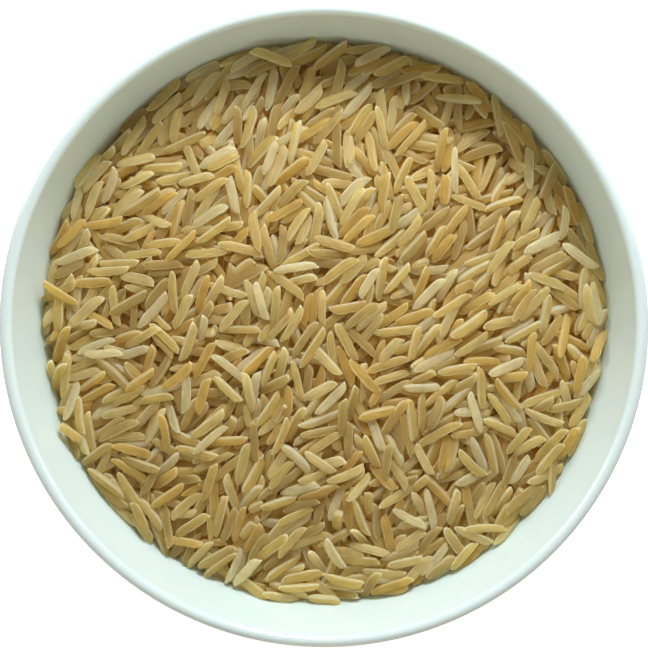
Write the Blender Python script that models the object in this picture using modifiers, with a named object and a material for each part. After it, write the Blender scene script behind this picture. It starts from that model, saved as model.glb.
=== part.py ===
"""A small round bowl filled with long, slender grains of dry rice.

The bowl is one turned shape with a foot ring and a rounded lip. The rice is one solid that fills
the bowl to its wall, and its top is a relief of grains at their real size, because there are far
too many for each to be a solid of its own. Metres, +Z up. The origin is the centre of the foot
ring's resting plane, and -Y is the front.
"""

import math
from collections import namedtuple

import bmesh
import bpy
import numpy as np

MM = 0.001

# The bowl, in glazed white porcelain
BOWL_RADIUS = 60.0 * MM
BOWL_HEIGHT = 56.0 * MM
LIP_THICKNESS = 2.4 * MM
FOOT_RADIUS = 31.5 * MM
FOOT_WIDTH = 3.4 * MM
FOOT_HEIGHT = 4.6 * MM
FOOT_ROUNDING = 0.8 * MM
FOOT_FLARE = 0.3 * MM
FOOT_RECESS = 2.6 * MM
WELL_RADIUS = 19.0 * MM
WELL_HEIGHT = 7.2 * MM
INSIDE_PULLS = ((44.0 * MM, 7.6 * MM), (52.2 * MM, 25.0 * MM))
OUTSIDE_PULLS = ((45.0 * MM, 5.4 * MM), (54.8 * MM, 22.0 * MM))
TURNING_STEPS = 60
WALL_STEPS = 7
LIP_STEPS = 4
PORCELAIN_COLOUR = (0.84, 0.90, 0.87)
PORCELAIN_ROUGHNESS = 0.12

# The rice: a low heap that stays a hair clear of the wall
RICE_GAP = 0.4 * MM
BED_EDGE_HEIGHT = 42.2 * MM
BED_CROWN = 4.5 * MM
GRAIN_LENGTH = 8.3 * MM
GRAIN_WIDTH = 1.9 * MM
GRAIN_DEPTH = 1.55 * MM
LENGTH_SPREAD = 0.07
GIRTH_SPREAD = 0.05
GRAIN_FULLNESS = 3.0
GRAIN_SINK = 0.25 * MM
GRAIN_COUNT = 900
BROKEN_SHARE = 0.05
BROKEN_LENGTHS = (0.45, 0.75)
RICE_SEED = 7
RICE_COLOUR = (0.45, 0.29, 0.10)
RICE_ROUGHNESS = 0.45

# Which way the grains point: a common lean, and down the heap's slope, each as a pull's strength
LEAN_ANGLE = math.radians(42)
LEAN_PULL = 0.35
SLOPE_PULL = 0.3
SLOPE_FULL_AT = 40 * MM
DIRECTION_SCATTER = 0.7

# The height map on which the grains are laid, and the relief made from it
MAP_CELL = 0.4 * MM
PLACES_TRIED = 8
SETTLING_MOVES = 10
SETTLING_SHIFT = 0.4 * MM
SETTLING_TURN = 0.12
RELIEF_MARGIN = 2.4 * MM
RELIEF_TRIANGLES = 9600

Grain = namedtuple("Grain", "x y z yaw slope length width depth")


def clear_scene():
    for obj in list(bpy.data.objects):
        bpy.data.objects.remove(obj)


def new_collection(name):
    collection = bpy.data.collections.new(name)
    bpy.context.scene.collection.children.link(collection)
    return collection


def new_material(name, colour, roughness):
    material = bpy.data.materials.new(name)
    material.use_nodes = True
    shader = material.node_tree.nodes["Principled BSDF"]
    shader.inputs["Base Color"].default_value = (*colour, 1.0)
    shader.inputs["Roughness"].default_value = roughness
    shader.inputs["Metallic"].default_value = 0.0
    return material


def curve_points(start, pulls, end):
    """Points (radius, height) along a cubic curve that two points pull to their side."""
    t = np.linspace(0.0, 1.0, WALL_STEPS + 1)[:, None]
    weights = ((1 - t) ** 3, 3 * (1 - t) ** 2 * t, 3 * (1 - t) * t**2, t**3)
    corners = (np.array(p) for p in (start, *pulls, end))
    return sum(w * p for w, p in zip(weights, corners))


def inner_wall():
    """The bowl's inside, from the edge of the flat well up to the lip."""
    rim = (BOWL_RADIUS - LIP_THICKNESS, BOWL_HEIGHT - LIP_THICKNESS / 2)
    return curve_points((WELL_RADIUS, WELL_HEIGHT), INSIDE_PULLS, rim)


def outer_wall():
    """The bowl's outside, from the top of the foot up to the lip."""
    rim = (BOWL_RADIUS, BOWL_HEIGHT - LIP_THICKNESS / 2)
    return curve_points((FOOT_RADIUS + FOOT_FLARE, FOOT_HEIGHT), OUTSIDE_PULLS, rim)


def lip():
    """The half circle over the lip, from outside to inside, without its ends."""
    radius = LIP_THICKNESS / 2
    centre = np.array([BOWL_RADIUS - radius, BOWL_HEIGHT - radius])
    angles = [math.pi * i / LIP_STEPS for i in range(1, LIP_STEPS)]
    return [centre + radius * np.array([math.cos(a), math.sin(a)]) for a in angles]


def foot():
    """The underside, from the axis out across the recess and round the foot ring."""
    inner = FOOT_RADIUS - FOOT_WIDTH
    return [
        (0.0, FOOT_RECESS),
        (inner - FOOT_ROUNDING, FOOT_RECESS),
        (inner, FOOT_ROUNDING),
        (inner + FOOT_ROUNDING, 0.0),
        (FOOT_RADIUS - FOOT_ROUNDING, 0.0),
        (FOOT_RADIUS, FOOT_ROUNDING),
    ]


def turned_solid(name, outline, material, collection):
    """Turns an outline that starts and ends on the axis into a closed solid."""
    mesh = bpy.data.meshes.new(name)
    corners = [(radius, 0.0, height) for radius, height in outline]
    mesh.from_pydata(corners, [(i, i + 1) for i in range(len(corners) - 1)], [])
    mesh.materials.append(material)
    obj = bpy.data.objects.new(name, mesh)
    collection.objects.link(obj)
    screw = obj.modifiers.new("Turning", "SCREW")
    screw.steps = TURNING_STEPS
    screw.render_steps = TURNING_STEPS
    screw.use_merge_vertices = True
    screw.merge_threshold = 0.01 * MM
    screw.use_smooth_shade = True
    return obj


def make_bowl(collection):
    porcelain = new_material("porcelain", PORCELAIN_COLOUR, PORCELAIN_ROUGHNESS)
    upward = [*foot(), *outer_wall(), *lip(), *inner_wall()[::-1], (0.0, WELL_HEIGHT)]
    return turned_solid("bowl", upward[::-1], porcelain, collection)


def rice_radius():
    """How far the rice reaches where its bed meets the wall."""
    wall = inner_wall()
    return float(np.interp(BED_EDGE_HEIGHT, wall[:, 1], wall[:, 0])) - RICE_GAP


def bed_height(distance):
    """The height of the bed that the top grains lie on: a low dome, highest in the middle."""
    share = np.minimum(distance / rice_radius(), 1.0)
    return BED_EDGE_HEIGHT + BED_CROWN * (1 - share**2)


def make_filling(material, collection):
    """All that the bowl could hold, RICE_GAP clear of its inside, with a flat top near the lip."""
    wall = inner_wall()
    tangent = np.gradient(wall, axis=0)
    normal = np.column_stack([-tangent[:, 1], tangent[:, 0]])
    side = wall + RICE_GAP * normal / np.linalg.norm(normal, axis=1)[:, None]
    outline = [(0.0, side[-1, 1]), *side[::-1], (0.0, WELL_HEIGHT + RICE_GAP)]
    return turned_solid("rice", outline, material, collection)


class HeightMap:
    """The top of everything laid so far, as heights on a square grid of cells."""

    def __init__(self, reach):
        self.cells = 2 * math.ceil(reach / MAP_CELL)
        self.start = -MAP_CELL * self.cells / 2
        steps = self.start + MAP_CELL * np.arange(self.cells + 1)
        self.x, self.y = np.meshgrid(steps, steps)
        self.height = bed_height(np.hypot(self.x, self.y))

    def under(self, x, y):
        row = np.clip(np.rint((y - self.start) / MAP_CELL).astype(int), 0, self.cells)
        column = np.clip(np.rint((x - self.start) / MAP_CELL).astype(int), 0, self.cells)
        return self.height[row, column]

    def add(self, grain):
        """Raises the cells under a grain to its upper side."""
        cos, sin = math.cos(grain.yaw), math.sin(grain.yaw)
        dx, dy = self.x - grain.x, self.y - grain.y
        along = dx * cos + dy * sin
        across = dy * cos - dx * sin
        level_length = grain.length / math.hypot(1.0, grain.slope)
        body = 1 - np.abs(2 * along / level_length) ** GRAIN_FULLNESS - (2 * across / grain.width) ** 2
        top = grain.z + grain.slope * along + grain.depth / 2 * np.sqrt(np.maximum(body, 0))
        self.height = np.where(body > 0, np.maximum(self.height, top), self.height)


# Where a grain is tried for support: shares of its half length, pairs on either side of its middle,
# and three lines along it, as shares of its half width with its half depth there
STATIONS = np.linspace(-0.96, 0.96, 13)
BEHIND, AHEAD = np.nonzero((STATIONS[:, None] < -0.05) & (STATIONS[None, :] > 0.05))
LINES = np.array([-0.6, 0.0, 0.6])
LINE_DEPTHS = np.sqrt(1 - LINES**2)


def rest_on(heights, grain):
    """The grain lowered onto two supports, one on each side of its middle."""
    cos, sin = math.cos(grain.yaw), math.sin(grain.yaw)
    along = STATIONS[:, None] * grain.length / 2
    girth = np.sqrt(1 - np.abs(STATIONS[:, None]) ** GRAIN_FULLNESS)
    across = LINES * girth * grain.width / 2
    belly = LINE_DEPTHS * girth * grain.depth / 2
    ground = heights.under(grain.x + along * cos - across * sin, grain.y + along * sin + across * cos)
    support = (ground + belly).max(axis=1)
    a, b = along[BEHIND, 0], along[AHEAD, 0]
    middle = (support[BEHIND] * b - support[AHEAD] * a) / (b - a)
    best = int(np.argmax(middle))
    slope = (support[AHEAD][best] - support[BEHIND][best]) / (b[best] - a[best])
    return grain._replace(z=middle[best], slope=slope)


def grain_direction(x, y, draw):
    """The way a grain points: down the heap's slope, leaning to one side, with a wide scatter."""
    around = math.atan2(y, x)
    slope_pull = SLOPE_PULL * min(1.0, math.hypot(x, y) / SLOPE_FULL_AT)
    scatter_u, scatter_v = draw.normal(0, DIRECTION_SCATTER, 2)
    u = LEAN_PULL * math.cos(2 * LEAN_ANGLE) + slope_pull * math.cos(2 * around) + scatter_u
    v = LEAN_PULL * math.sin(2 * LEAN_ANGLE) + slope_pull * math.sin(2 * around) + scatter_v
    return math.atan2(v, u) / 2


def inside(grain, radius):
    """Whether both tips are within the radius."""
    reach = grain.length / 2
    dx, dy = reach * math.cos(grain.yaw), reach * math.sin(grain.yaw)
    return max(math.hypot(grain.x + dx, grain.y + dy), math.hypot(grain.x - dx, grain.y - dy)) < radius


def grain_size(draw):
    """The length, width and depth of one grain, a few of them broken short."""
    broken = draw.random() < BROKEN_SHARE
    share = draw.uniform(*BROKEN_LENGTHS) if broken else draw.normal(1, LENGTH_SPREAD)
    width_share, depth_share = draw.normal(1, GIRTH_SPREAD, 2)
    return GRAIN_LENGTH * share, GRAIN_WIDTH * width_share, GRAIN_DEPTH * depth_share


def lay_grains(heights, count, edge):
    """Lays grains one by one, each in the lowest of a few places and then settled lower."""
    draw = np.random.default_rng(RICE_SEED)
    laid = 0
    while laid < count:
        size = grain_size(draw)
        found = []
        for _ in range(PLACES_TRIED):
            distance = edge * math.sqrt(draw.random())
            around = draw.uniform(0, 2 * math.pi)
            x, y = distance * math.cos(around), distance * math.sin(around)
            placed = Grain(x, y, 0.0, grain_direction(x, y, draw), 0.0, *size)
            if inside(placed, edge):
                placed = rest_on(heights, placed)
                found.append((placed.z - bed_height(distance), placed))
        if not found:
            continue
        grain = min(found)[1]
        for _ in range(SETTLING_MOVES):
            dx, dy, turn = draw.normal(0, (SETTLING_SHIFT, SETTLING_SHIFT, SETTLING_TURN))
            moved = rest_on(heights, grain._replace(x=grain.x + dx, y=grain.y + dy, yaw=grain.yaw + turn))
            if inside(moved, edge) and moved.z < grain.z:
                grain = moved
        heights.add(grain._replace(z=grain.z - GRAIN_SINK))
        laid += 1


def apply_modifiers(obj):
    """Makes the evaluated shape the object's own mesh."""
    graph = bpy.context.evaluated_depsgraph_get()
    mesh = bpy.data.meshes.new_from_object(obj.evaluated_get(graph))
    obj.modifiers.clear()
    obj.data = mesh


def make_relief(collection):
    """A block whose top is the laid grains, reaching past the wall all round and down to the ground."""
    reach = rice_radius() + RELIEF_MARGIN
    heights = HeightMap(reach)
    lay_grains(heights, GRAIN_COUNT, rice_radius())
    shape = bmesh.new()
    bmesh.ops.create_grid(shape, x_segments=heights.cells, y_segments=heights.cells, size=-heights.start)
    beyond = [v for v in shape.verts if v.co.length > reach]
    bmesh.ops.delete(shape, geom=beyond, context="VERTS")
    for vertex in shape.verts:
        vertex.co.z = heights.under(vertex.co.x, vertex.co.y)
    mesh = bpy.data.meshes.new("relief")
    shape.to_mesh(mesh)
    shape.free()
    relief = bpy.data.objects.new("relief", mesh)
    collection.objects.link(relief)
    thinning = relief.modifiers.new("Thinning", "DECIMATE")
    thinning.ratio = RELIEF_TRIANGLES / (2 * len(mesh.polygons))
    apply_modifiers(relief)
    close_below(relief.data)
    return relief


def close_below(mesh):
    """Draws a sheet's border down to the ground and shuts it with one face."""
    shape = bmesh.new()
    shape.from_mesh(mesh)
    border = [edge for edge in shape.edges if edge.is_boundary]
    drawn = bmesh.ops.extrude_edge_only(shape, edges=border)["geom"]
    for vertex in (item for item in drawn if isinstance(item, bmesh.types.BMVert)):
        vertex.co.z = 0.0
    bmesh.ops.contextual_create(shape, geom=[edge for edge in shape.edges if edge.is_boundary])
    bmesh.ops.recalc_face_normals(shape, faces=shape.faces)
    shape.to_mesh(mesh)
    shape.free()


def make_rice(collection):
    rice = make_filling(new_material("rice", RICE_COLOUR, RICE_ROUGHNESS), collection)
    relief = make_relief(collection)
    meet = rice.modifiers.new("Heap", "BOOLEAN")
    meet.operation = "INTERSECT"
    meet.object = relief
    meet.solver = "MANIFOLD"
    apply_modifiers(rice)
    bpy.data.objects.remove(relief)


def main():
    clear_scene()
    collection = new_collection("bowl_of_rice")
    make_bowl(collection)
    make_rice(collection)


main()
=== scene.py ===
"""A small round porcelain bowl full of dry, golden, long-grain rice, seen from straight above."""

import math
from collections import namedtuple

import bpy
import numpy as np
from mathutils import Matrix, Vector


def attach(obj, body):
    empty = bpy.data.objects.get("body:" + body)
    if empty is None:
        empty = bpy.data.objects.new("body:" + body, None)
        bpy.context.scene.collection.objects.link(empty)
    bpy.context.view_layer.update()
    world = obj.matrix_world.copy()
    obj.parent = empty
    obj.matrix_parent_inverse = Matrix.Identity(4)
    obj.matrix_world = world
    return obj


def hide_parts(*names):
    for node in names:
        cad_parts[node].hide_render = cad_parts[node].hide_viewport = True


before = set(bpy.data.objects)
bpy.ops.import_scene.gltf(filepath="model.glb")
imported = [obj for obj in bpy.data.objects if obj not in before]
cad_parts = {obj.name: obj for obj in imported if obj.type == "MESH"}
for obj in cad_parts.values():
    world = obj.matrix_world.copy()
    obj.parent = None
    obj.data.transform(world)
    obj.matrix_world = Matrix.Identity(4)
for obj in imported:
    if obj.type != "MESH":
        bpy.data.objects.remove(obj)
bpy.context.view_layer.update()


# The bowl is white porcelain, turned on a wheel to an even wall that thins towards a rounded lip,
# with a foot ring cut under it. It is dipped in a clear, faintly green glaze, which stops short of
# the ring that it stands on.
MM = 0.001
BOWL_RADIUS = 60.0 * MM
BOWL_HEIGHT = 56.0 * MM
LIP_THICKNESS = 2.4 * MM
FOOT_RADIUS = 31.5 * MM
FOOT_WIDTH = 3.4 * MM
FOOT_HEIGHT = 4.6 * MM
FOOT_ROUNDING = 0.8 * MM
FOOT_FLARE = 0.3 * MM
FOOT_RECESS = 2.6 * MM
WELL_RADIUS = 19.0 * MM
WELL_HEIGHT = 7.2 * MM
INSIDE_PULLS = ((44.0 * MM, 7.6 * MM), (52.2 * MM, 25.0 * MM))
OUTSIDE_PULLS = ((45.0 * MM, 5.4 * MM), (54.8 * MM, 22.0 * MM))
BOWL_TURNS = 192
WALL_STEPS = 30
ROUNDING_STEPS = 6
OUT_OF_ROUND = 0.08 * MM
GLAZE_WHITE = "#DFEDEA"
GLAZE_POOLED = "#D8E8E1"
BISQUE_WHITE = "#E8E2D6"
# Painted shade on the lip's outer edge: its colour, and how far in from the edge it starts and is full.
LIP_EDGE_SHADE_WHITE = "#DFEAE8"
LIP_EDGE_SHADE_REACH = (1.2 * MM, 0.3 * MM)
GLAZE_EDGE_HEIGHT = 1.1 * MM


def linear(hex_colour):
    """An sRGB hex colour as linear red, green, blue and alpha."""
    shares = [int(hex_colour[i : i + 2], 16) / 255 for i in (1, 3, 5)]
    return (*[c / 12.92 if c <= 0.04045 else ((c + 0.055) / 1.055) ** 2.4 for c in shares], 1.0)


def add_node(material, kind, inputs=None, **settings):
    """One node with its settings, each of its inputs given a value or linked from an output."""
    tree = material.node_tree
    node = tree.nodes.new(kind)
    for name, value in settings.items():
        setattr(node, name, value)
    for name, value in (inputs or {}).items():
        if isinstance(value, bpy.types.NodeSocket):
            tree.links.new(value, node.inputs[name])
        else:
            node.inputs[name].default_value = value
    return node


def new_material(name):
    """A material with nothing in it but its output."""
    material = bpy.data.materials.new(name)
    material.use_nodes = True
    material.node_tree.nodes.clear()
    return material


def curve_points(start, pulls, end, steps):
    """Points (radius, height) along a cubic curve that two points pull to their side."""
    t = np.linspace(0.0, 1.0, steps + 1)[:, None]
    weights = ((1 - t) ** 3, 3 * (1 - t) ** 2 * t, 3 * (1 - t) * t**2, t**3)
    corners = (np.array(p) for p in (start, *pulls, end))
    return sum(w * p for w, p in zip(weights, corners))


def rounding(centre, radius, start, end, steps=ROUNDING_STEPS):
    """Points on an arc about a centre, between two angles in degrees."""
    angles = np.radians(np.linspace(start, end, steps + 1))
    return np.array(centre) + radius * np.column_stack([np.cos(angles), np.sin(angles)])


def bowl_outline():
    """The bowl's half section, from the axis below, round the foot and lip, to the axis inside."""
    inner = FOOT_RADIUS - FOOT_WIDTH
    rim = BOWL_HEIGHT - LIP_THICKNESS / 2
    r = FOOT_ROUNDING
    return np.vstack([
        [(0.0, FOOT_RECESS), (inner * 0.5, FOOT_RECESS)],
        rounding((inner - 1.5 * r, FOOT_RECESS - r), r, 90, 20),
        rounding((inner + r, r), r, 180, 270),
        rounding((FOOT_RADIUS - r, r), r, 270, 360),
        rounding((FOOT_RADIUS + 1.5 * r, FOOT_HEIGHT - 1.2 * r), 1.5 * r, 180, 105),
        curve_points((FOOT_RADIUS + FOOT_FLARE + 1.1 * r, FOOT_HEIGHT + 0.25 * r), OUTSIDE_PULLS,
                     (BOWL_RADIUS, rim), WALL_STEPS),
        rounding((BOWL_RADIUS - LIP_THICKNESS / 2, rim), LIP_THICKNESS / 2, 12, 168, 2 * ROUNDING_STEPS),
        curve_points((WELL_RADIUS, WELL_HEIGHT), INSIDE_PULLS,
                     (BOWL_RADIUS - LIP_THICKNESS, rim), WALL_STEPS)[::-1],
        [(WELL_RADIUS * 0.6, WELL_HEIGHT), (0.0, WELL_HEIGHT)],
    ])


def turned_mesh(name, outline, turns, material):
    """A closed solid of revolution, from an outline that starts and ends on the axis."""
    around = np.linspace(0, 2 * math.pi, turns, endpoint=False)
    rings = outline[1:-1]
    wobble = OUT_OF_ROUND * np.cos(2 * around + 0.7)[None, :] * (rings[:, 1] / BOWL_HEIGHT)[:, None]
    reach = rings[:, 0][:, None] + wobble
    height = np.repeat(rings[:, 1][:, None], turns, axis=1)
    points = np.dstack([reach * np.cos(around), reach * np.sin(around), height]).reshape(-1, 3)
    points = np.vstack([points, (0, 0, outline[0, 1]), (0, 0, outline[-1, 1])])
    here = np.arange((len(rings) - 1) * turns).reshape(-1, turns)
    side = np.roll(here, -1, axis=1)
    faces = np.dstack([here, side, side + turns, here + turns]).reshape(-1, 4).tolist()
    last = (len(rings) - 1) * turns
    for i in range(turns):
        j = (i + 1) % turns
        faces.append((len(points) - 2, j, i))
        faces.append((len(points) - 1, last + i, last + j))
    mesh = bpy.data.meshes.new(name)
    mesh.from_pydata(points.tolist(), [], faces)
    mesh.materials.append(material)
    mesh.shade_smooth()
    piece = bpy.data.objects.new(name, mesh)
    bpy.context.scene.collection.objects.link(piece)
    return piece


def glazed_porcelain():
    """Porcelain under clear glaze: a hard, smooth white that pools a little greener near the foot,
    with a faint ripple in its shine. Some light spreads through its thin wall. The lip's outer edge
    is painted a little greyer as shade, and the ring below is bare, dull and slightly warm."""
    m = new_material("glazed porcelain")
    place = add_node(m, "ShaderNodeNewGeometry").outputs["Position"]
    height = add_node(m, "ShaderNodeSeparateXYZ", {"Vector": place}).outputs["Z"]
    cloud = add_node(m, "ShaderNodeTexNoise", {
        "Vector": place, "Scale": 55.0, "Detail": 2.0}).outputs["Fac"]
    pooled = add_node(m, "ShaderNodeMapRange", {
        "Value": height, "From Min": 14 * MM, "From Max": 3 * MM,
        "To Min": 0.0, "To Max": 0.8}).outputs[0]
    pooled = add_node(m, "ShaderNodeMath", {
        0: cloud, 1: 0.45, 2: pooled}, operation="MULTIPLY_ADD").outputs[0]
    glaze = add_node(m, "ShaderNodeMix", {
        "Factor": pooled, "A": linear(GLAZE_WHITE), "B": linear(GLAZE_POOLED)}, data_type="RGBA")
    edge = add_node(m, "ShaderNodeMath", {
        0: cloud, 1: 0.5 * MM, 2: height}, operation="MULTIPLY_ADD").outputs[0]
    bare = add_node(m, "ShaderNodeMapRange", {
        "Value": edge, "From Min": GLAZE_EDGE_HEIGHT + 0.3 * MM,
        "From Max": GLAZE_EDGE_HEIGHT}).outputs[0]
    grit = add_node(m, "ShaderNodeTexNoise", {
        "Vector": place, "Scale": 2600.0, "Detail": 3.0}).outputs["Fac"]
    peel = add_node(m, "ShaderNodeTexNoise", {
        "Vector": place, "Scale": 260.0, "Detail": 1.0}).outputs["Fac"]
    relief = add_node(m, "ShaderNodeMix", {"Factor": bare, "A": peel, "B": grit})
    bump = add_node(m, "ShaderNodeBump", {
        "Height": relief.outputs[0], "Strength": 0.25, "Distance": 0.02 * MM})
    rough = add_node(m, "ShaderNodeMapRange", {
        "Value": cloud, "From Min": 0.3, "From Max": 0.7, "To Min": 0.10, "To Max": 0.16}).outputs[0]
    rough = add_node(m, "ShaderNodeMix", {"Factor": bare, "A": rough, "B": 0.7})
    colour = add_node(m, "ShaderNodeMix", {
        "Factor": bare, "A": glaze.outputs["Result"], "B": linear(BISQUE_WHITE)}, data_type="RGBA")
    axis = add_node(m, "ShaderNodeVectorMath", {0: place, 1: (1, 1, 0)}, operation="MULTIPLY").outputs[0]
    reach = add_node(m, "ShaderNodeVectorMath", {0: axis}, operation="LENGTH").outputs["Value"]
    # Painted shade: the lip's outer edge is turned a little greyer, so that its outline shows.
    thin = add_node(m, "ShaderNodeMapRange", {
        "Value": reach, "From Min": BOWL_RADIUS - LIP_EDGE_SHADE_REACH[0],
        "From Max": BOWL_RADIUS - LIP_EDGE_SHADE_REACH[1]}).outputs[0]
    colour = add_node(m, "ShaderNodeMix", {
        "Factor": thin, "A": colour.outputs["Result"], "B": linear(LIP_EDGE_SHADE_WHITE)}, data_type="RGBA")
    surface = add_node(m, "ShaderNodeBsdfPrincipled", {
        "Base Color": colour.outputs["Result"], "Roughness": rough.outputs[0], "Normal": bump.outputs[0],
        "IOR": 1.5, "Subsurface Weight": 0.24, "Subsurface Scale": 3.5 * MM,
        "Subsurface Radius": (1.0, 0.68, 0.42)})
    add_node(m, "ShaderNodeOutputMaterial", {"Surface": surface.outputs[0]})
    return m


bowl = turned_mesh("porcelain_bowl", bowl_outline(), BOWL_TURNS, glazed_porcelain())
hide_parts("bowl")
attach(bowl, "root")


# The rice was poured in, so its grains lie as they came to rest: each on two others or more, mostly
# down the heap's gentle slope, with a common lean. They are laid here one by one on a height map.
# The ones laid first hardly show and become the bed's relief. The ring at the wall is laid fuller.
BED_EDGE_HEIGHT = 38.9 * MM
BED_CROWN = 4.5 * MM
GRAIN_LENGTH = 8.0 * MM
GRAIN_WIDTH = 1.7 * MM
GRAIN_DEPTH = 1.45 * MM
LENGTH_SPREAD = 0.08
GIRTH_SPREAD = 0.09
GRAIN_FULLNESS = 4.2
GRAIN_SINK = 0.42 * MM
GRAINS_IN_BED = 900
GRAINS_ON_TOP = 1500
GRAINS_IN_HOLLOWS = 520
GRAINS_AT_WALL = 90
WALL_BAND = 50.5 * MM
BROKEN_SHARE = 0.05
BROKEN_LENGTHS = (0.4, 0.75)
STEEP_GRAINS = 46
STEEP_ANGLES = (50, 80)
STEEP_RISE_MM = (1.0, 2.2)
STEEP_REACH = 0.97
LEANING_GRAINS = 4
LEANING_TURNS = (0.2, 1.2)
LEANING_ANGLES = (6, 16)
LEANING_RISE = 6 * MM
BEDDED_SHARE = 0.3
WALL_CLEARANCE = 0.12 * MM
LEAN_ANGLE = math.radians(42)
LEAN_PULL = 0.35
SLOPE_PULL = 0.25
SLOPE_FULL_AT = 40 * MM
ALONG_WALL_FROM = 49 * MM
ALONG_WALL_PULL = 0.6
DIRECTION_SCATTER = 0.6
DRIFT_PULL = 0.32
DRIFT_LENGTH = 28 * MM
MAP_CELL = 0.35 * MM
PLACES_TRIED = 8
HOLLOWS_TRIED = 40
SETTLING_MOVES = 16
SETTLING_SHIFT = 0.5 * MM
SETTLING_TURN = 0.15
STATIONS = np.linspace(-0.96, 0.96, 13)
BEHIND, AHEAD = np.nonzero((STATIONS[:, None] < -0.05) & (STATIONS[None, :] > 0.05))
LINES = np.array([-0.6, 0.0, 0.6])
LINE_DEPTHS = np.sqrt(1 - LINES**2)
EDGE_SHARES_ALONG = np.array([-1.0, 1.0, -0.6, -0.6, 0.6, 0.6, 0.0, 0.0])
EDGE_SHARES_ACROSS = np.array([0.0, 0.0, -0.8, 0.8, -0.8, 0.8, -1.0, 1.0])

Grain = namedtuple("Grain", "x y z yaw slope length width depth broken")
draw = np.random.default_rng(11)
drift_waves = draw.normal(0, 2 * math.pi / DRIFT_LENGTH, (2, 6, 2))
drift_phases = draw.uniform(0, 2 * math.pi, (2, 6))
inside_wall = curve_points(
    (WELL_RADIUS, WELL_HEIGHT), INSIDE_PULLS,
    (BOWL_RADIUS - LIP_THICKNESS, BOWL_HEIGHT - LIP_THICKNESS / 2), WALL_STEPS)


def wall_radius(height):
    """How far the bowl's inside reaches at a height."""
    return np.interp(height, inside_wall[:, 1], inside_wall[:, 0])


def bed_height(distance):
    """A low dome, highest in the middle."""
    share = np.minimum(distance / wall_radius(BED_EDGE_HEIGHT), 1.0)
    return BED_EDGE_HEIGHT + BED_CROWN * (1 - share**2)


class Heap:
    """The top of all the rice so far, as heights on a square grid, and the number of the grain there."""

    def __init__(self, reach):
        self.cells = 2 * math.ceil(reach / MAP_CELL)
        self.start = -MAP_CELL * self.cells / 2
        steps = self.start + MAP_CELL * np.arange(self.cells + 1)
        self.x, self.y = np.meshgrid(steps, steps)
        self.height = bed_height(np.hypot(self.x, self.y))
        self.owner = np.full(self.height.shape, -1)
        self.grains = []

    def cell(self, places):
        return np.clip(np.rint((places - self.start) / MAP_CELL).astype(int), 0, self.cells)

    def under(self, x, y):
        return self.height[self.cell(y), self.cell(x)]

    def add(self, grain):
        """Raises the cells under a grain to its upper side."""
        cos, sin = math.cos(grain.yaw), math.sin(grain.yaw)
        reach = grain.length / 2
        low_row, high_row = self.cell(np.array([grain.y - reach, grain.y + reach]))
        low_column, high_column = self.cell(np.array([grain.x - reach, grain.x + reach]))
        patch = slice(low_row, high_row + 1), slice(low_column, high_column + 1)
        dx, dy = self.x[patch] - grain.x, self.y[patch] - grain.y
        along = dx * cos + dy * sin
        across = dy * cos - dx * sin
        level_length = grain.length / math.hypot(1.0, grain.slope)
        body = 1 - np.abs(2 * along / level_length) ** GRAIN_FULLNESS - (2 * across / grain.width) ** 2
        top = grain.z + grain.slope * along + grain.depth / 2 * np.sqrt(np.maximum(body, 0))
        higher = (body > 0) & (top > self.height[patch])
        self.height[patch][higher] = top[higher]
        self.owner[patch][higher] = len(self.grains)
        self.grains.append(grain)


def rest_on(heap, grain):
    """The grain lowered onto two supports, one on each side of its middle."""
    cos, sin = math.cos(grain.yaw), math.sin(grain.yaw)
    along = STATIONS[:, None] * grain.length / 2
    girth = np.sqrt(1 - np.abs(STATIONS[:, None]) ** GRAIN_FULLNESS)
    across = LINES * girth * grain.width / 2
    belly = LINE_DEPTHS * girth * grain.depth / 2
    ground = heap.under(grain.x + along * cos - across * sin, grain.y + along * sin + across * cos)
    support = (ground + belly).max(axis=1)
    a, b = along[BEHIND, 0], along[AHEAD, 0]
    middle = (support[BEHIND] * b - support[AHEAD] * a) / (b - a)
    best = int(np.argmax(middle))
    slope = (support[AHEAD][best] - support[BEHIND][best]) / (b[best] - a[best])
    return grain._replace(z=middle[best], slope=slope)


def grain_direction(x, y):
    """The way a grain points: down the heap's slope, leaning to one side, with a wide scatter."""
    around = math.atan2(y, x)
    slope_pull = SLOPE_PULL * min(1.0, math.hypot(x, y) / SLOPE_FULL_AT)
    if math.hypot(x, y) > ALONG_WALL_FROM:
        slope_pull = -ALONG_WALL_PULL
    drift = DRIFT_PULL * np.cos(drift_waves @ (x, y) + drift_phases).mean(axis=1) * math.sqrt(12)
    scatter_u, scatter_v = drift + draw.normal(0, DIRECTION_SCATTER, 2)
    u = LEAN_PULL * math.cos(2 * LEAN_ANGLE) + slope_pull * math.cos(2 * around) + scatter_u
    v = LEAN_PULL * math.sin(2 * LEAN_ANGLE) + slope_pull * math.sin(2 * around) + scatter_v
    return math.atan2(v, u) / 2


def inside(grain):
    """Whether a grain's tips and sides stay clear of the bowl's wall."""
    level = 1 / math.hypot(1.0, grain.slope)
    along = EDGE_SHARES_ALONG * grain.length / 2 * level
    across = EDGE_SHARES_ACROSS * grain.width / 2
    x = grain.x + along * math.cos(grain.yaw) - across * math.sin(grain.yaw)
    y = grain.y + along * math.sin(grain.yaw) + across * math.cos(grain.yaw)
    return bool(np.all(np.hypot(x, y) < wall_radius(grain.z + grain.slope * along) - WALL_CLEARANCE))


def grain_size():
    """The length, width and depth of one grain, a few of them broken short, and whether it is."""
    broken = draw.random() < BROKEN_SHARE
    share = draw.uniform(*BROKEN_LENGTHS) if broken else draw.normal(1, LENGTH_SPREAD)
    width_share, depth_share = draw.normal(1, GIRTH_SPREAD, 2)
    return GRAIN_LENGTH * share, GRAIN_WIDTH * width_share, GRAIN_DEPTH * depth_share, broken


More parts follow.
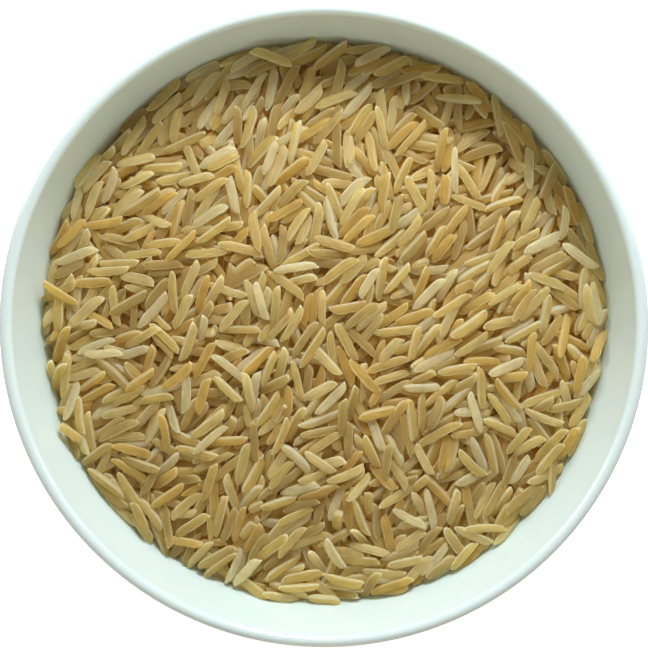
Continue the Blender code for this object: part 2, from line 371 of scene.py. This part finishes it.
def lay_grain(heap, places, least=0.0):
    """Lays a grain in the lowest of some places, so far from the middle or more, and settles it."""
    size = grain_size()
    reach = wall_radius(BOWL_HEIGHT * 0.8)
    found = []
    while not found:
        for _ in range(places):
            distance = math.sqrt(draw.uniform(least**2, reach**2))
            around = draw.uniform(0, 2 * math.pi)
            x, y = distance * math.cos(around), distance * math.sin(around)
            placed = rest_on(heap, Grain(x, y, 0.0, grain_direction(x, y), 0.0, *size))
            if inside(placed):
                found.append((placed.z - bed_height(distance), placed))
    grain = min(found)[1]
    for _ in range(SETTLING_MOVES):
        dx, dy, turn = draw.normal(0, (SETTLING_SHIFT, SETTLING_SHIFT, SETTLING_TURN))
        moved = rest_on(heap, grain._replace(x=grain.x + dx, y=grain.y + dy, yaw=grain.yaw + turn))
        if inside(moved) and moved.z < grain.z:
            grain = moved
    heap.add(grain._replace(z=grain.z - GRAIN_SINK))


def stand_grain(heap):
    """Adds a grain that slid down steeply between the others, its upper end a little proud."""
    length, width, depth, broken = grain_size()
    distances = wall_radius(BED_EDGE_HEIGHT) * np.sqrt(draw.random(HOLLOWS_TRIED)) * STEEP_REACH
    turns = draw.uniform(0, 2 * math.pi, HOLLOWS_TRIED)
    depths = heap.under(distances * np.cos(turns), distances * np.sin(turns)) - bed_height(distances)
    lowest = int(np.argmin(depths))
    x, y = distances[lowest] * math.cos(turns[lowest]), distances[lowest] * math.sin(turns[lowest])
    pitch = math.radians(draw.uniform(*STEEP_ANGLES))
    z = heap.under(x, y) + draw.uniform(*STEEP_RISE_MM) * MM - length / 2 * math.sin(pitch)
    grain = Grain(x, y, z, draw.uniform(0, 2 * math.pi), math.tan(pitch), length, width, depth, broken)
    if inside(grain):
        heap.add(grain)


def lean_grain(heap):
    """Adds a grain whose lower end lies on the rice and whose upper end touches the wall."""
    length, width, depth, broken = grain_size()
    around = draw.uniform(0, 2 * math.pi)
    yaw = around + draw.choice([-1, 1]) * draw.uniform(*LEANING_TURNS)
    pitch = math.radians(draw.uniform(*LEANING_ANGLES))
    reach = length * math.cos(pitch)
    touch = wall_radius(BED_EDGE_HEIGHT + LEANING_RISE) - width / 2
    tip_x, tip_y = touch * math.cos(around), touch * math.sin(around)
    foot = heap.under(tip_x - reach * math.cos(yaw), tip_y - reach * math.sin(yaw)) + depth * BEDDED_SHARE
    middle_x, middle_y = tip_x - reach / 2 * math.cos(yaw), tip_y - reach / 2 * math.sin(yaw)
    z = max(foot + length / 2 * math.sin(pitch), heap.under(middle_x, middle_y) + depth * BEDDED_SHARE)
    heap.add(Grain(middle_x, middle_y, z, yaw, math.tan(pitch), length, width, depth, broken))


heap = Heap(wall_radius(BOWL_HEIGHT))
for _ in range(GRAINS_IN_BED):
    lay_grain(heap, PLACES_TRIED)
bed_relief = heap.height.copy()
for _ in range(GRAINS_AT_WALL):
    lay_grain(heap, HOLLOWS_TRIED, WALL_BAND)
for _ in range(GRAINS_ON_TOP):
    lay_grain(heap, PLACES_TRIED)
for _ in range(GRAINS_IN_HOLLOWS):
    lay_grain(heap, HOLLOWS_TRIED)
for _ in range(GRAINS_AT_WALL):
    lay_grain(heap, HOLLOWS_TRIED, WALL_BAND)
for _ in range(STEEP_GRAINS):
    stand_grain(heap)
for _ in range(LEANING_GRAINS):
    lean_grain(heap)


# The bed is the rice under the loose grains that show. It fills the bowl to its wall, and where a
# gap lets the eye in, its top is the relief of the grains laid first, painted browner as their shade.
BED_GAP = 0.25 * MM
BED_RINGS = 100
BED_TURNS = 420
# The bed's colours are a painted shade: browner than the loose grains.
BED_COLOUR = "#E6BC74"
BED_SHADE = "#C89850"


def bed_mesh(name, material):
    """A closed solid: the relief read from the height map in rings, and the wall's curve below."""
    edge = wall_radius(BED_EDGE_HEIGHT) - BED_GAP
    reach = np.linspace(0, 1, BED_RINGS + 1)[1:] ** 0.8 * edge
    around = np.linspace(0, 2 * math.pi, BED_TURNS, endpoint=False)
    x = (reach[:, None] * np.cos(around)).ravel()
    y = (reach[:, None] * np.sin(around)).ravel()
    top = np.column_stack([x, y, bed_relief[heap.cell(y), heap.cell(x)]])
    below = [p for p in inside_wall[::-3] if p[1] < BED_EDGE_HEIGHT - 1 * MM]
    sides = [
        np.column_stack([
            (r - BED_GAP) * np.cos(around), (r - BED_GAP) * np.sin(around), np.full(BED_TURNS, z + BED_GAP)])
        for r, z in below
    ]
    middle = heap.cell(0.0)
    points = np.vstack([top, *sides, [(0, 0, bed_relief[middle, middle])], [(0, 0, WELL_HEIGHT + BED_GAP)]])
    rows = BED_RINGS + len(below)
    here = np.arange((rows - 1) * BED_TURNS).reshape(-1, BED_TURNS)
    side = np.roll(here, -1, axis=1)
    faces = np.dstack([here, here + BED_TURNS, side + BED_TURNS, side]).reshape(-1, 4).tolist()
    last = (rows - 1) * BED_TURNS
    for i in range(BED_TURNS):
        j = (i + 1) % BED_TURNS
        faces.append((len(points) - 2, i, j))
        faces.append((len(points) - 1, last + j, last + i))
    mesh = bpy.data.meshes.new(name)
    mesh.from_pydata(points.tolist(), [], faces)
    mesh.materials.append(material)
    mesh.shade_smooth()
    piece = bpy.data.objects.new(name, mesh)
    bpy.context.scene.collection.objects.link(piece)
    return piece


def packed_rice():
    """The same rice, painted browner as it looks out of the light: a waxy golden brown, uneven from grain to
    grain.
    """
    m = new_material("packed parboiled rice")
    place = add_node(m, "ShaderNodeNewGeometry").outputs["Position"]
    cloud = add_node(m, "ShaderNodeTexNoise", {
        "Vector": place, "Scale": 300.0, "Detail": 3.0}).outputs["Fac"]
    colour = add_node(m, "ShaderNodeMix", {
        "Factor": cloud, "A": linear(BED_SHADE), "B": linear(BED_COLOUR)}, data_type="RGBA")
    bump = add_node(m, "ShaderNodeBump", {"Height": cloud, "Strength": 0.3, "Distance": 0.1 * MM})
    surface = add_node(m, "ShaderNodeBsdfPrincipled", {
        "Base Color": colour.outputs["Result"], "Normal": bump.outputs[0], "Roughness": 0.5, "IOR": 1.5})
    add_node(m, "ShaderNodeOutputMaterial", {"Surface": surface.outputs[0]})
    return m


bed = bed_mesh("rice_bed", packed_rice())
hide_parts("rice")
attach(bed, "root")


# Each loose grain is parboiled basmati, husked and milled: a long, slightly flattened body with
# almost straight sides, a slanting end where the germ was, and a narrower end. It is hard, waxy and
# half clear; the light that comes through its thin edges and tips is painted on as a paler colour
# there. One piece holds each kind of grain.
GRAIN_RINGS = 14
GRAIN_SIDES = 12
SECTION_SQUARENESS = 0.62
RIDGE_HEIGHT = 0.035
LEAST_CELLS_SHOWN = 3
# How deep under the heap's level a grain's painted shade of deeper amber becomes full.
PAINTED_SHADE_DEPTH = 2.2 * MM
# Each end's fullness and sharpness, and how far its tip slants aside, are a middle and a spread.
GERM_END = {"fullness": (5.6, 0.7), "sharpness": (0.74, 0.06), "slant": (0.85, 0.13)}
NARROW_END = {"fullness": (4.0, 0.4), "sharpness": (0.62, 0.05), "slant": (0.25, 0.35)}
BROKEN_FULLNESS = 9.0
BROKEN_SHARPNESS = 0.3
BEND_SPREAD = 0.14
ROLL_SPREAD = math.radians(17)
# How fast the painted light on a grain's tips fades towards its middle.
PAINTED_TIP_LIGHT_FADE = 0.75
CHALK_WHITE = "#FAF3DC"
LIGHT_THROUGH = "#FFECA0"
# Painted shade: the colour that grains lying under others are turned towards.
PAINTED_SHADE_AMBER = "#D8B060"


def rings_along():
    """Stations from tip to tip, closer together towards the ends."""
    return np.sin(np.linspace(-1, 1, GRAIN_RINGS + 2)[1:-1] * math.pi / 2)


def surface_level(x, y):
    """The heap's general level at a place, without its single grains."""
    return bed_height(np.hypot(x, y)) + loose_depth


def grain_meshes(name, grains, material):
    """One object with a closed mesh for each grain. Its attributes give each grain a tone of its
    own, a place of its own in the patterns, how near a point is to a side or a tip, where a paler rim
    is painted as light, and how far it lies under the heap's level, where deeper amber is painted as
    shade."""
    count = len(grains)
    table = np.array([grain[:8] for grain in grains])
    x, y, z, yaw, slope, length, width, depth = (column[:, None, None] for column in table.T)
    broken = np.array([grain.broken for grain in grains])[:, None, None]
    s = rings_along()[None, :, None]
    angle = (2 * math.pi * (np.arange(GRAIN_SIDES) + 0.5) / GRAIN_SIDES)[None, None, :]

    def vary(middle, spread):
        return draw.normal(middle, spread, (count, 1, 1))

    hand = draw.choice([-1.0, 1.0], (count, 1, 1))
    germ_end = s > 0
    fullness = np.where(germ_end, vary(*GERM_END["fullness"]), vary(*NARROW_END["fullness"])).clip(2.4, 8.0)
    sharpness = np.where(germ_end, vary(*GERM_END["sharpness"]), vary(*NARROW_END["sharpness"]))
    sharpness = np.where(broken & germ_end, BROKEN_SHARPNESS, sharpness.clip(0.5, 0.98))
    fullness = np.where(broken & germ_end, BROKEN_FULLNESS, fullness)
    half_width = (1 - np.abs(s) ** fullness) ** sharpness
    half_depth = (1 - np.abs(s) ** (fullness - 0.3)) ** (sharpness - 0.08)
    slant = np.where(germ_end, vary(*GERM_END["slant"]), vary(*NARROW_END["slant"])).clip(-0.9, 0.97)
    notch = vary(0.05, 0.12).clip(0.0, 0.3) * np.exp(-(((s - 0.91) / 0.05) ** 2))
    bend = vary(0.0, BEND_SPREAD) * (s**2 - 0.4)
    side = np.sign(np.cos(angle)) * np.abs(np.cos(angle)) ** SECTION_SQUARENESS
    rise = np.sign(np.sin(angle)) * np.abs(np.sin(angle)) ** SECTION_SQUARENESS
    ridge = 1 + RIDGE_HEIGHT * np.cos(5 * angle + vary(0, 2)) * (1 - s**2)
    outline = half_width * side * ridge + (1 - half_width) * slant
    across = hand * (width / 2) * (outline + bend + notch * (side < 0))
    up = depth / 2 * half_depth * rise * ridge + depth * vary(0, 0.04) * (s**2 - 0.4)
    along = s * length / 2 + 0 * across
    tips_along = np.array([-1.0, 1.0])[None, :, None] * length / 2
    tip_slant = np.concatenate([slant[:, :1], slant[:, -1:]], axis=1)
    tip_bend = np.concatenate([bend[:, :1], bend[:, -1:]], axis=1)
    tips_across = hand * (width / 2) * (tip_slant + tip_bend)

    def flat(rings, tips):
        return np.hstack([rings.reshape(count, -1), tips.reshape(count, -1)])

    own_x = flat(along, tips_along)
    own_y = flat(across, tips_across)
    own_z = flat(up, 0 * tips_along)
    roll = draw.normal(0, ROLL_SPREAD, (count, 1))
    level_y = own_y * np.cos(roll) - own_z * np.sin(roll)
    level_z = own_y * np.sin(roll) + own_z * np.cos(roll)
    pitch = np.arctan(slope[:, :, 0])
    forward = own_x * np.cos(pitch) - level_z * np.sin(pitch)
    raised = own_x * np.sin(pitch) + level_z * np.cos(pitch)
    cos, sin = np.cos(yaw[:, :, 0]), np.sin(yaw[:, :, 0])
    points = np.dstack([
        x[:, :, 0] + forward * cos - level_y * sin,
        y[:, :, 0] + forward * sin + level_y * cos,
        z[:, :, 0] + raised,
    ]).reshape(-1, 3)

    ring_points = GRAIN_RINGS * GRAIN_SIDES
    here = np.arange((GRAIN_RINGS - 1) * GRAIN_SIDES).reshape(-1, GRAIN_SIDES)
    beside = np.roll(here, -1, axis=1)
    walls = np.dstack([here, beside, beside + GRAIN_SIDES, here + GRAIN_SIDES]).reshape(-1, 4)
    first = np.arange(GRAIN_SIDES)
    last = first + ring_points - GRAIN_SIDES
    ends = np.vstack([
        np.column_stack([np.full(GRAIN_SIDES, ring_points), np.roll(first, -1), first]),
        np.column_stack([np.full(GRAIN_SIDES, ring_points + 1), last, np.roll(last, -1)]),
    ])
    starts = (ring_points + 2) * np.arange(count)[:, None, None]
    faces = (walls[None] + starts).reshape(-1, 4).tolist()
    faces += (ends[None] + starts).reshape(-1, 3).tolist()
    mesh = bpy.data.meshes.new(name)
    mesh.from_pydata(points.tolist(), [], faces)
    mesh.shade_smooth()
    mesh.materials.append(material)

    # Painted light: a grain's sides and tips get a paler rim colour, standing for the light through its thin
    # edges.
    flank = np.abs(np.cos(angle)) + 0 * s
    tip = 1 - PAINTED_TIP_LIGHT_FADE * (1 - np.abs(s)) * GRAIN_LENGTH / 2 / MM + 0 * angle
    rim = np.maximum(flank, tip)
    rim = np.tile(np.append(rim.ravel(), [1.0, 1.0]), count)
    tone = np.repeat(draw.random(count), ring_points + 2)
    shift = np.repeat(draw.uniform(-1, 1, (count, 3)) * 0.2, ring_points + 2, axis=0)
    own = np.dstack([own_x, own_y, own_z]).reshape(-1, 3) + shift
    flat_x, flat_y = points[:, 0], points[:, 1]
    # Painted shade: how far a point lies below the heap's general level.
    painted_shade = ((surface_level(flat_x, flat_y) - points[:, 2]) / PAINTED_SHADE_DEPTH).clip(0, 1)
    for label, values in (("rim", rim), ("tone", tone), ("painted_shade", painted_shade)):
        mesh.attributes.new(label, "FLOAT", "POINT").data.foreach_set("value", values.astype(np.float32))
    own_places = mesh.attributes.new("own", "FLOAT_VECTOR", "POINT")
    own_places.data.foreach_set("vector", own.ravel().astype(np.float32))
    piece = bpy.data.objects.new(name, mesh)
    bpy.context.scene.collection.objects.link(piece)
    return piece


def parboiled_rice(name, dark, light, rim):
    """Waxy, half-clear starch: each grain has a tone between two colours, faint streaks along it,
    a paler rim painted as the light through its thin edges and tips, a painted shade of deeper amber
    where it lies under others, and in some chalky specks in a flaw. Most of the light goes through it
    and comes out golden, more in its own colour along the rim."""
    m = new_material(name)
    tone = add_node(m, "ShaderNodeAttribute", attribute_name="tone").outputs["Fac"]
    edge = add_node(m, "ShaderNodeAttribute", attribute_name="rim").outputs["Fac"]
    own = add_node(m, "ShaderNodeAttribute", attribute_name="own").outputs["Vector"]
    drawn_out = add_node(m, "ShaderNodeMapping", {
        "Vector": own, "Scale": (0.12, 1.0, 1.0)}).outputs[0]
    streak = add_node(m, "ShaderNodeTexNoise", {
        "Vector": drawn_out, "Scale": 2200.0, "Detail": 3.0}).outputs["Fac"]
    cloud = add_node(m, "ShaderNodeTexNoise", {
        "Vector": own, "Scale": 420.0, "Detail": 2.0}).outputs["Fac"]
    body = add_node(m, "ShaderNodeMix", {
        "Factor": tone, "A": linear(dark), "B": linear(light)}, data_type="RGBA").outputs["Result"]
    uneven = add_node(m, "ShaderNodeMapRange", {
        "Value": cloud, "From Min": 0.3, "From Max": 0.7, "To Min": 0.86, "To Max": 1.1}).outputs[0]
    streaked = add_node(m, "ShaderNodeMapRange", {
        "Value": streak, "From Min": 0.4, "From Max": 0.68, "To Min": 0.93, "To Max": 1.22}).outputs[0]
    strength = add_node(m, "ShaderNodeMath", {0: uneven, 1: streaked}, operation="MULTIPLY").outputs[0]
    body = add_node(m, "ShaderNodeVectorMath", {0: body, "Scale": strength}, operation="SCALE").outputs[0]
    # Painted shade: grains lying under others are turned towards deeper amber.
    painted_shade = add_node(m, "ShaderNodeAttribute", attribute_name="painted_shade").outputs["Fac"]
    body = add_node(m, "ShaderNodeMix", {
        "Factor": painted_shade, "A": body, "B": linear(PAINTED_SHADE_AMBER)}, data_type="RGBA").outputs["Result"]
    # Painted light: the paler rim colour is mixed in near a grain's sides and tips.
    painted_rim_light = add_node(m, "ShaderNodeMapRange", {
        "Value": edge, "From Min": 0.6, "From Max": 0.8, "To Min": 0.0, "To Max": 1.0},
        interpolation_type="SMOOTHSTEP").outputs[0]
    colour = add_node(m, "ShaderNodeMix", {
        "Factor": painted_rim_light, "A": body, "B": linear(rim)}, data_type="RGBA").outputs["Result"]
    speck = add_node(m, "ShaderNodeTexVoronoi", {"Vector": own, "Scale": 2800.0}).outputs["Distance"]
    speck = add_node(m, "ShaderNodeMapRange", {
        "Value": speck, "From Min": 0.36, "From Max": 0.2}).outputs[0]
    flaw = add_node(m, "ShaderNodeTexNoise", {
        "Vector": own, "Scale": 260.0, "Detail": 1.0}).outputs["Fac"]
    flaw = add_node(m, "ShaderNodeMapRange", {
        "Value": flaw, "From Min": 0.58, "From Max": 0.64}).outputs[0]
    flawed = add_node(m, "ShaderNodeMath", {0: tone, 1: 0.8}, operation="GREATER_THAN").outputs[0]
    flaw = add_node(m, "ShaderNodeMath", {0: flaw, 1: flawed}, operation="MULTIPLY").outputs[0]
    flaw = add_node(m, "ShaderNodeMath", {0: flaw, 1: speck}, operation="MULTIPLY").outputs[0]
    colour = add_node(m, "ShaderNodeMix", {
        "Factor": flaw, "A": colour, "B": linear(CHALK_WHITE)}, data_type="RGBA").outputs["Result"]
    bump = add_node(m, "ShaderNodeBump", {"Height": streak, "Strength": 0.35, "Distance": 0.06 * MM})
    surface = add_node(m, "ShaderNodeBsdfPrincipled", {
        "Base Color": colour, "Normal": bump.outputs[0], "Roughness": 0.38, "IOR": 1.5})
    own_share = add_node(m, "ShaderNodeMapRange", {
        "Value": painted_rim_light, "To Min": 0.3, "To Max": 1.0}).outputs[0]
    tint = add_node(m, "ShaderNodeMix", {
        "Factor": own_share, "A": linear(LIGHT_THROUGH), "B": colour}, data_type="RGBA").outputs["Result"]
    through = add_node(m, "ShaderNodeBsdfTranslucent", {"Color": tint})
    mixed = add_node(m, "ShaderNodeMixShader", {0: 0.72, 1: surface.outputs[0], 2: through.outputs[0]})
    add_node(m, "ShaderNodeOutputMaterial", {"Surface": mixed.outputs[0]})
    return m


# Each kind: its share, the dark and light ends of its tones, and the paler colour painted on its rims and
# tips as light.
KINDS = {
    "golden_grains": (0.3, "#D8C07A", "#E8D698", "#FFFADA"),
    "straw_grains": (0.27, "#DECC8C", "#F2E4B2", "#FFFCE0"),
    "honey_grains": (0.15, "#D6B66A", "#E6CA82", "#FEF2C4"),
    "clear_grains": (0.16, "#B6A06C", "#CABA8A", "#F6ECC4"),
    "pale_grains": (0.12, "#ECE6BE", "#F8F4D6", "#FFFFEC"),
}

in_bowl = np.hypot(heap.x, heap.y) < wall_radius(BED_EDGE_HEIGHT) - 2 * MM
loose_depth = float(np.percentile((heap.height - bed_height(np.hypot(heap.x, heap.y)))[in_bowl], 60))
shown, cells = np.unique(heap.owner[heap.owner >= GRAINS_IN_BED], return_counts=True)
loose = [heap.grains[i] for i, n in zip(shown, cells) if n >= LEAST_CELLS_SHOWN]
whole = [grain for grain in loose if not grain.broken]
pieces_of = [grain for grain in loose if grain.broken]
shares = np.array([kind[0] for kind in KINDS.values()])
which = draw.choice(len(KINDS), len(whole), p=shares / shares.sum())
for number, (name, (_, dark, light, rim)) in enumerate(KINDS.items()):
    chosen = [grain for grain, kind in zip(whole, which) if kind == number]
    piece = grain_meshes(name, chosen, parboiled_rice("parboiled rice, " + name, dark, light, rim))
    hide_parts("rice")
    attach(piece, "root")
# The broken grains' colours, the last one painted on their rims and tips as light.
broken_rice = parboiled_rice("parboiled rice, broken", "#D4B770", "#E6D298", "#F8EEC8")
piece = grain_meshes("broken_grains", pieces_of, broken_rice)
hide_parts("rice")
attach(piece, "root")


# The bowl stands on a plain white sheet. One soft light close beyond it is the brightest, so the
# heap falls off in brightness towards the front; three weak ones and a pale glow fill the shade.
# The sheet glows near the bowl but throws no diffuse light back, so the white bowl shows against it.
SHEET_WHITE = "#FBFBFA"
CAMERA_HEIGHT = 262.0 * MM
CAMERA_ASIDE = 20.0 * MM
POOL_OF_LIGHT = (110 * MM, 260 * MM)
GLOW_NEAR = 0.66
GLOW_FAR = 0.3
SHEET_REACH = 20
MIDDLE_OF_BOWL = Vector((0, 0, 0.045))

sheet_material = new_material("matt white sheet")
fibre = add_node(sheet_material, "ShaderNodeTexNoise", {"Scale": 900.0, "Detail": 2.0}).outputs["Fac"]
sheet_bump = add_node(sheet_material, "ShaderNodeBump", {
    "Height": fibre, "Strength": 0.1, "Distance": 0.05 * MM})
sheet_place = add_node(sheet_material, "ShaderNodeNewGeometry").outputs["Position"]
from_bowl = add_node(sheet_material, "ShaderNodeVectorMath", {
    0: sheet_place}, operation="LENGTH").outputs["Value"]
pool = add_node(sheet_material, "ShaderNodeMapRange", {
    "Value": from_bowl, "From Min": POOL_OF_LIGHT[0], "From Max": POOL_OF_LIGHT[1],
    "To Min": GLOW_NEAR, "To Max": GLOW_FAR}, interpolation_type="SMOOTHSTEP").outputs[0]
sheet_surface = add_node(sheet_material, "ShaderNodeBsdfPrincipled", {
    "Base Color": linear(SHEET_WHITE), "Roughness": 0.9, "Normal": sheet_bump.outputs[0],
    "Emission Color": linear(SHEET_WHITE), "Emission Strength": pool})
add_node(sheet_material, "ShaderNodeOutputMaterial", {"Surface": sheet_surface.outputs[0]})
sheet_mesh = bpy.data.meshes.new("sheet")
sheet_corners = [(x * SHEET_REACH, y * SHEET_REACH, 0) for x, y in ((-1, -1), (1, -1), (1, 1), (-1, 1))]
sheet_mesh.from_pydata(sheet_corners, [], [(0, 1, 2, 3)])
sheet_mesh.materials.append(sheet_material)
sheet = bpy.data.objects.new("sheet", sheet_mesh)
bpy.context.scene.collection.objects.link(sheet)
sheet.visible_diffuse = False


def soft_light(name, azimuth, elevation, distance, size, watts, colour=(1.0, 1.0, 1.0)):
    """A round, soft studio light that points at the bowl, from an angle round it and above it."""
    light = bpy.data.objects.new(name, bpy.data.lights.new(name, "AREA"))
    light.data.shape = "DISK"
    light.data.size = size
    light.data.energy = watts
    light.data.color = colour
    around, above = math.radians(azimuth), math.radians(elevation)
    light.location = MIDDLE_OF_BOWL + distance * Vector(
        (math.cos(around) * math.cos(above), math.sin(around) * math.cos(above), math.sin(above)))
    light.rotation_euler = (MIDDLE_OF_BOWL - light.location).to_track_quat("-Z", "Y").to_euler()
    bpy.context.scene.collection.objects.link(light)


soft_light("daylight", azimuth=80, elevation=32.5, distance=0.30, size=0.08, watts=0.93,
           colour=(0.92, 1.0, 1.07))
soft_light("left_fill", azimuth=152, elevation=10, distance=1.2, size=0.5, watts=4.0,
           colour=(0.94, 1.0, 1.06))
soft_light("front_fill", azimuth=270, elevation=12, distance=1.2, size=0.5, watts=1.8,
           colour=(1.0, 0.9, 0.72))
soft_light("right_fill", azimuth=26, elevation=10, distance=1.2, size=0.5, watts=2.8,
           colour=(0.94, 1.0, 1.06))

world = bpy.data.worlds.new("even daylight")
world.use_nodes = True
glow = world.node_tree.nodes["Background"]
glow.inputs["Color"].default_value = (1.0, 0.96, 0.88, 1.0)
glow.inputs["Strength"].default_value = 0.38
bpy.context.scene.world = world

camera = bpy.data.objects.new("camera", bpy.data.cameras.new("camera"))
camera.data.sensor_fit = "HORIZONTAL"
camera.data.sensor_width = 36.0
over_rim = CAMERA_HEIGHT - BOWL_HEIGHT + LIP_THICKNESS / 2
to_far_rim = math.atan((BOWL_RADIUS - CAMERA_ASIDE) / over_rim)
to_near_rim = math.atan((BOWL_RADIUS + CAMERA_ASIDE) / over_rim)
tilt = (to_near_rim - to_far_rim) / 2
rim_distance = over_rim * math.cos(tilt) + CAMERA_ASIDE * math.sin(tilt)
camera.data.lens = camera.data.sensor_width / 2 * rim_distance / BOWL_RADIUS
camera.location = (0.0, CAMERA_ASIDE, CAMERA_HEIGHT)
camera.rotation_euler = (-tilt, 0.0, 0.0)
bpy.context.scene.collection.objects.link(camera)
bpy.context.scene.camera = camera
bpy.context.scene.view_settings.view_transform = "Standard"
